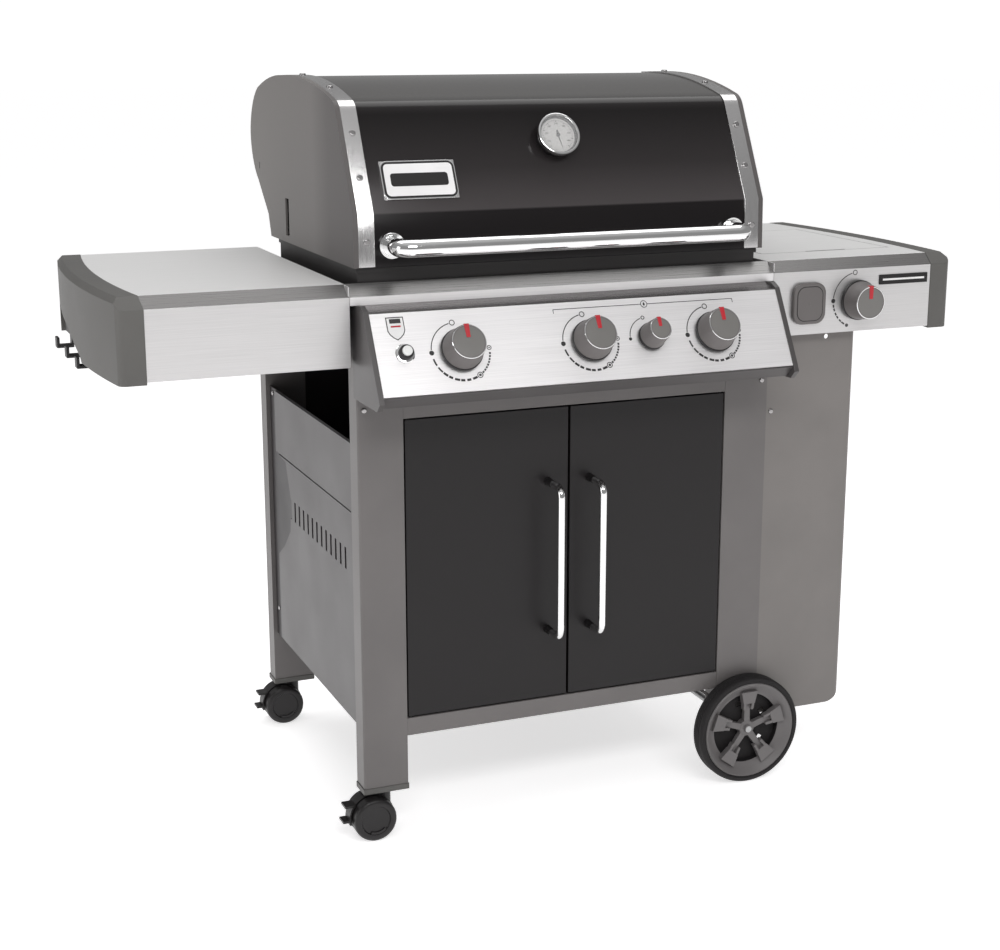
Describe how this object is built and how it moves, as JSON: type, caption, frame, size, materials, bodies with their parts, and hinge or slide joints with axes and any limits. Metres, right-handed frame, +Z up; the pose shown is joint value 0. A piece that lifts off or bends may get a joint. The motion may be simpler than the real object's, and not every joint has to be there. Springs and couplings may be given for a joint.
{
  "type": "gas barbecue grill",
  "caption": "Gas barbecue grill on a wheeled cabinet cart, with a hinged lid, sloping control panel, side tables, side burner, doors and tank cover.",
  "frame": {"origin": "on the floor under the middle of the whole grill's bounding box, lid closed", "axes": "+X to the right seen from the front, along the side tables; +Y from the control panel to the back; +Z up"},
  "size_m": [1.547, 0.8068, 1.2814],
  "materials": {
    "steel_top": "brushed",
    "panel_steel": "brushed",
    "grey_plastic": "satin",
    "grey_paint": "satin",
    "cover_paint": "satin",
    "black_enamel": "gloss",
    "lid_casting": "painted satin",
    "door_paint": "satin",
    "bright_trim": "polished",
    "black_plastic": "satin",
    "knob_grey": "satin",
    "button_white": "gloss",
    "cookbox_cast": "painted matt",
    "stainless": "plain",
    "grate_iron": "porcelain enamel",
    "galvanised": "zinc",
    "gas_brass": "plain",
    "tray_aluminium": "plain",
    "gauge_black": "satin",
    "gauge_glass": "clear",
    "needle_metal": "matt",
    "screw_steel": "polished",
    "caster_plastic": "satin",
    "wheel_black": "matt"
  },
  "bodies": {
    "cart": {"legs": "grey_paint", "side_rails": "galvanised", "foot_caps": "grey_plastic", "front_rails": "grey_paint", "side_panel_left": "grey_paint", "side_panel_right": "grey_paint", "back_panel": "grey_paint", "bottom_shelf": "grey_paint", "tank_cover": "cover_paint", "axle": "galvanised", "hinge_pins": "galvanised", "cart_screws": "screw_steel", "cookbox": "cookbox_cast", "burner_tubes": "stainless", "heat_bars": "stainless", "cooking_grates": "grate_iron", "gas_manifold": "gas_brass", "control_panel": "panel_steel", "console_frame": "grey_paint", "right_table": "steel_top", "right_end_cap": "grey_plastic", "side_burner": "black_enamel", "panel_fittings": "grey_plastic"},
    "lid": {"hood": "black_enamel", "hood_ends": "lid_casting", "hood_trims": "bright_trim", "hood_screws": "screw_steel", "hood_handle": "bright_trim", "thermometer_case": "gauge_black", "thermometer_lens": "gauge_glass"},
    "needle": {"thermometer_needle": "needle_metal"},
    "left_side_table": {"left_table": "steel_top", "left_end_cap": "grey_plastic", "tool_hooks": "black_plastic"},
    "side_lid": {"side_burner_lid": "steel_top"},
    "rack": {"warming_rack": "stainless"},
    "tray": {"grease_tray": "tray_aluminium"},
    "left_door": {"door_left": "door_paint", "door_handle_left": "bright_trim"},
    "right_door": {"door_right": "door_paint", "door_handle_right": "bright_trim"},
    "igniter": {"igniter_button": "button_white"},
    "spindle_left_body": {"spindle_left": "stainless"},
    "knob_left_body": {"knob_left": "knob_grey"},
    "spindle_middle_body": {"spindle_middle": "stainless"},
    "knob_middle_body": {"knob_middle": "knob_grey"},
    "spindle_right_body": {"spindle_right": "stainless"},
    "knob_right_body": {"knob_right": "knob_grey"},
    "spindle_small_body": {"spindle_small": "stainless"},
    "knob_small_body": {"knob_small": "knob_grey"},
    "spindle_side_body": {"spindle_side": "stainless"},
    "knob_side_body": {"knob_side": "knob_grey"},
    "caster_front": {"caster_frame_front": "caster_plastic"},
    "caster_wheel_pair_front": {"caster_wheels_front": "caster_plastic"},
    "caster_brake_front": {"brake_lever_front": "caster_plastic"},
    "big_wheel_front": {"wheel_front": "wheel_black"},
    "caster_rear": {"caster_frame_rear": "caster_plastic"},
    "caster_wheel_pair_rear": {"caster_wheels_rear": "caster_plastic"},
    "caster_brake_rear": {"brake_lever_rear": "caster_plastic"},
    "big_wheel_rear": {"wheel_rear": "wheel_black"}
  },
  "joints": [
    {"name": "lid_hinge", "type": "hinge", "parent": "cart", "child": "lid", "pos_m": [0, 0.23145, 0.9955], "axis": [-1, 0, 0], "range_deg": [0, 75]},
    {"name": "needle_turn", "type": "hinge", "parent": "lid", "child": "needle", "pos_m": [0, -0.22244, 1.18741], "axis": [0, 0.8898, -0.4563], "range_deg": [-120, 120]},
    {"name": "left_table_fold", "type": "hinge", "parent": "cart", "child": "left_side_table", "pos_m": [-0.384, 0.02145, 0.8225], "axis": [0, -1, 0], "range_deg": [0, 90]},
    {"name": "side_lid_hinge", "type": "hinge", "parent": "cart", "child": "side_lid", "pos_m": [0.56, 0.15845, 0.9565], "axis": [-1, 0, 0], "range_deg": [0, 95]},
    {"name": "rack_tuck", "type": "hinge", "parent": "cart", "child": "rack", "pos_m": [0, 0.20245, 1.086], "axis": [-1, 0, 0], "range_deg": [0, 75]},
    {"name": "tray_slide", "type": "slide", "parent": "cart", "child": "tray", "axis": [0, 1, 0], "range_m": [0, 0.28]},
    {"name": "left_door_hinge", "type": "hinge", "parent": "cart", "child": "left_door", "pos_m": [-0.283, -0.24855, 0.47], "axis": [0, 0, -1], "range_deg": [0, 110]},
    {"name": "right_door_hinge", "type": "hinge", "parent": "cart", "child": "right_door", "pos_m": [0.3014, -0.24855, 0.47], "axis": [0, 0, 1], "range_deg": [0, 110]},
    {"name": "igniter_push", "type": "slide", "parent": "cart", "child": "igniter", "axis": [0, 0.8712, -0.4909], "range_m": [0, 0.004], "stiffness_N_per_m": 400, "springref_m": -0.003},
    {"name": "spindle_left_push", "type": "slide", "parent": "cart", "child": "spindle_left_body", "axis": [0, 0.8712, -0.4909], "range_m": [0, 0.0035], "stiffness_N_per_m": 800, "springref_m": -0.004},
    {"name": "knob_left_turn", "type": "hinge", "parent": "spindle_left_body", "child": "knob_left_body", "pos_m": [-0.2256, -0.3504, 0.85904], "axis": [0, -0.8712, 0.4909], "range_deg": [0, 240]},
    {"name": "spindle_middle_push", "type": "slide", "parent": "cart", "child": "spindle_middle_body", "axis": [0, 0.8712, -0.4909], "range_m": [0, 0.0035], "stiffness_N_per_m": 800, "springref_m": -0.004},
    {"name": "knob_middle_turn", "type": "hinge", "parent": "spindle_middle_body", "child": "knob_middle_body", "pos_m": [0.0019, -0.3504, 0.85904], "axis": [0, -0.8712, 0.4909], "range_deg": [0, 240]},
    {"name": "spindle_right_push", "type": "slide", "parent": "cart", "child": "spindle_right_body", "axis": [0, 0.8712, -0.4909], "range_m": [0, 0.0035], "stiffness_N_per_m": 800, "springref_m": -0.004},
    {"name": "knob_right_turn", "type": "hinge", "parent": "spindle_right_body", "child": "knob_right_body", "pos_m": [0.2294, -0.3504, 0.85904], "axis": [0, -0.8712, 0.4909], "range_deg": [0, 240]},
    {"name": "spindle_small_push", "type": "slide", "parent": "cart", "child": "spindle_small_body", "axis": [0, 0.8712, -0.4909], "range_m": [0, 0.0035], "stiffness_N_per_m": 800, "springref_m": -0.004},
    {"name": "knob_small_turn", "type": "hinge", "parent": "spindle_small_body", "child": "knob_small_body", "pos_m": [0.1105, -0.3504, 0.85904], "axis": [0, -0.8712, 0.4909], "range_deg": [0, 240]},
    {"name": "spindle_side_push", "type": "slide", "parent": "cart", "child": "spindle_side_body", "axis": [0, 1, 0], "range_m": [0, 0.0035], "stiffness_N_per_m": 800, "springref_m": -0.004},
    {"name": "knob_side_turn", "type": "hinge", "parent": "spindle_side_body", "child": "knob_side_body", "pos_m": [0.5575, -0.27855, 0.8875], "axis": [0, -1, 0], "range_deg": [0, 240]},
    {"name": "caster_front_swivel", "type": "hinge", "parent": "cart", "child": "caster_front", "pos_m": [-0.3305, -0.24005, 0.09], "axis": [0, 0, 1], "continuous": true},
    {"name": "caster_front_roll", "type": "hinge", "parent": "caster_front", "child": "caster_wheel_pair_front", "pos_m": [-0.3545, -0.24005, 0.038], "axis": [0, 1, 0], "continuous": true},
    {"name": "caster_front_brake", "type": "hinge", "parent": "caster_front", "child": "caster_brake_front", "pos_m": [-0.3545, -0.24005, 0.038], "axis": [0, 1, 0], "range_deg": [0, 12]},
    {"name": "caster_rear_swivel", "type": "hinge", "parent": "cart", "child": "caster_rear", "pos_m": [-0.3305, 0.33895, 0.09], "axis": [0, 0, 1], "continuous": true},
    {"name": "caster_rear_roll", "type": "hinge", "parent": "caster_rear", "child": "caster_wheel_pair_rear", "pos_m": [-0.3545, 0.33895, 0.038], "axis": [0, 1, 0], "continuous": true},
    {"name": "caster_rear_brake", "type": "hinge", "parent": "caster_rear", "child": "caster_brake_rear", "pos_m": [-0.3545, 0.33895, 0.038], "axis": [0, 1, 0], "range_deg": [0, 12]},
    {"name": "wheel_front_roll", "type": "hinge", "parent": "cart", "child": "big_wheel_front", "pos_m": [0.3622, -0.27455, 0.1016], "axis": [0, 1, 0], "continuous": true},
    {"name": "wheel_rear_roll", "type": "hinge", "parent": "cart", "child": "big_wheel_rear", "pos_m": [0.3622, 0.38545, 0.1016], "axis": [0, 1, 0], "continuous": true}
  ]
}
